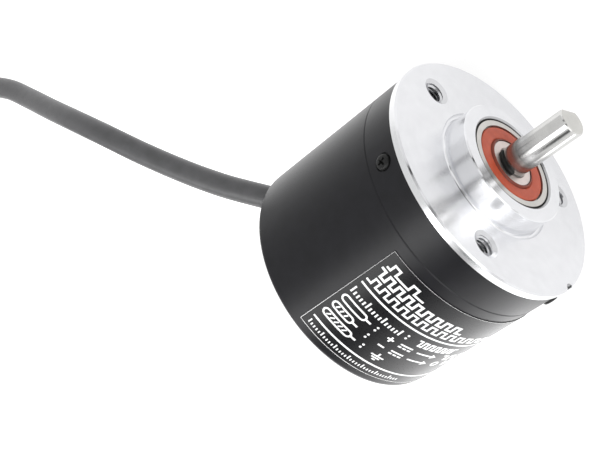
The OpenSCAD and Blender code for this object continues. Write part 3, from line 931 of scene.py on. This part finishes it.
# The arms in the groove get the bright shaft steel, a painted highlight; the real clip is black all round
shaft_clip.data.materials.append(M["steel"])
for k, face in enumerate(shaft_clip.data.polygons):
    face.material_index = 0 if 35 * 6 <= k < 88 * 6 else 1
paint(cable_tie, M["tie"])
for ob in screw_objs:
    paint(ob, M["screw"])
for ob, strand, col in lead_objs:
    hi = tuple(min(1, c * 1.25) for c in col)
    paint(ob, plastic(ob.name + "_pvc", [(0.3, col), (0.7, hi)], 0.38, 0.5, grain=3.0))
    paint(strand, M["copper"])

# ---------------------------------------------------------------- stage
fl_me = bpy.data.meshes.new("floor")
S = 4.0
fl_me.from_pydata([(-S, -S, -0.025), (S, -S, -0.025), (S, S, -0.025), (-S, S, -0.025)], [], [(0, 1, 2, 3)])
floor = link("floor", fl_me)
fm, fnt, fb = new_mat("floor_pale")
fb.inputs["Base Color"].default_value = (0.2, 0.2, 0.2, 1)
fb.inputs["Roughness"].default_value = 0.8
fb.inputs["Specular IOR Level"].default_value = 0.1
fb.inputs["Emission Color"].default_value = (1, 1, 1, 1)
fsep = N(fnt, "ShaderNodeSeparateXYZ")
fnt.links.new(coords(fnt), fsep.inputs[0])


# a light table: its own glow is stronger to the sides of the body, behind the flange
behind = smoothstep(fnt, fsep.outputs["X"], -14, -38, 0.0, 1.0)
left = add(fnt, smoothstep(fnt, fsep.outputs["Y"], 15, 30, 0.0, FLOOR_LEFT), smoothstep(fnt, fsep.outputs["Y"], 45, 120, 1.0, 0.0), "MULTIPLY")
sides = add(fnt, smoothstep(fnt, fsep.outputs["Y"], -15, -50, 0.0, FLOOR_RIGHT), left)
glow = add(fnt, add(fnt, sides, behind, "MULTIPLY"), FLOOR_GLOW)
fnt.links.new(glow, fb.inputs["Emission Strength"])
paint(floor, fm)

world = bpy.data.worlds.new("studio")
scene.world = world
world.use_nodes = True
wnt = world.node_tree
bg = wnt.nodes["Background"]
wtc = N(wnt, "ShaderNodeTexCoord")
wsep = N(wnt, "ShaderNodeSeparateXYZ")
wnt.links.new(wtc.outputs["Generated"], wsep.inputs[0])


def toward(d):
    v = Vector(d).normalized()
    n = N(wnt, "ShaderNodeVectorMath", operation="DOT_PRODUCT")
    wnt.links.new(wtc.outputs["Generated"], n.inputs[0])
    n.inputs[1].default_value = v
    return n.outputs["Value"]


def patch(d, inner, outer, amount):
    """A soft-edged bright or dark area of the surroundings, by its angles from a direction."""
    return smoothstep(wnt, toward(d), math.cos(math.radians(outer)), math.cos(math.radians(inner)), 0.0, amount)


flat = N(wnt, "ShaderNodeCombineXYZ")
wnt.links.new(wsep.outputs["Y"], flat.inputs["Y"])
wnt.links.new(wsep.outputs["Z"], flat.inputs["Z"])
around = N(wnt, "ShaderNodeVectorMath", operation="NORMALIZE")
wnt.links.new(flat.outputs[0], around.inputs[0])


def strip(psi, inner, outer, x0, x1, amount):
    n = N(wnt, "ShaderNodeVectorMath", operation="DOT_PRODUCT")
    wnt.links.new(around.outputs[0], n.inputs[0])
    n.inputs[1].default_value = (0, math.sin(math.radians(psi)), math.cos(math.radians(psi)))
    g = smoothstep(wnt, n.outputs["Value"], math.cos(math.radians(outer)), math.cos(math.radians(inner)), 0.0, amount)
    g = add(wnt, g, smoothstep(wnt, wsep.outputs["X"], x0 - 0.06, x0 + 0.06, 0.0, 1.0), "MULTIPLY")
    return add(wnt, g, smoothstep(wnt, wsep.outputs["X"], x1 - 0.06, x1 + 0.06, 1.0, 0.0), "MULTIPLY")


light = smoothstep(wnt, wsep.outputs["X"], -0.25, 0.25, SKY_BACK, SKY_FRONT)
for d, inner, outer, amount in PATCHES:
    light = add(wnt, light, patch(d, inner, outer, amount))
for band in STRIPS:
    light = add(wnt, light, strip(*band))
light = add(wnt, light, 0.02, "MAXIMUM")
wnt.links.new(light, bg.inputs["Strength"])
bg.inputs["Color"].default_value = (1, 1, 1, 1)

# ---------------------------------------------------------------- size
lo, hi = CAD_BOX
